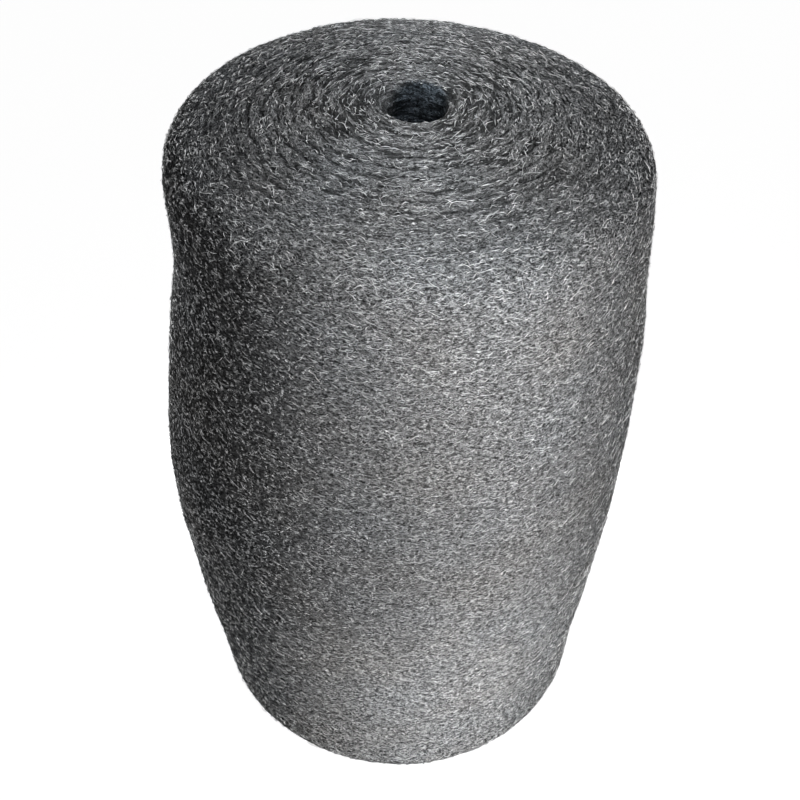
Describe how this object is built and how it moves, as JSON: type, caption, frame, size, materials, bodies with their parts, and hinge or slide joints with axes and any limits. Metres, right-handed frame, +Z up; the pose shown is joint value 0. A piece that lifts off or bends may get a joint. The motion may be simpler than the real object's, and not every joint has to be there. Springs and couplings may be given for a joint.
{
  "type": "steel wool roll",
  "caption": "Barrel-shaped roll of steel wool that stands on its end, one long web wound round an open hole, with a domed top and rounded rims.",
  "frame": {"origin": "under the middle of the roll, on the surface it stands on", "axes": "+Z up along the hole, -Y towards the front that the picture shows; the web's outer end is at the back"},
  "size_m": [0.2008, 0.202, 0.3131],
  "materials": {
    "steel_wool": "matte tangle of fine bright steel fibres with dark gaps between them"
  },
  "bodies": {
    "root": {"steel_wool_roll": "steel_wool"}
  },
  "joints": []
}
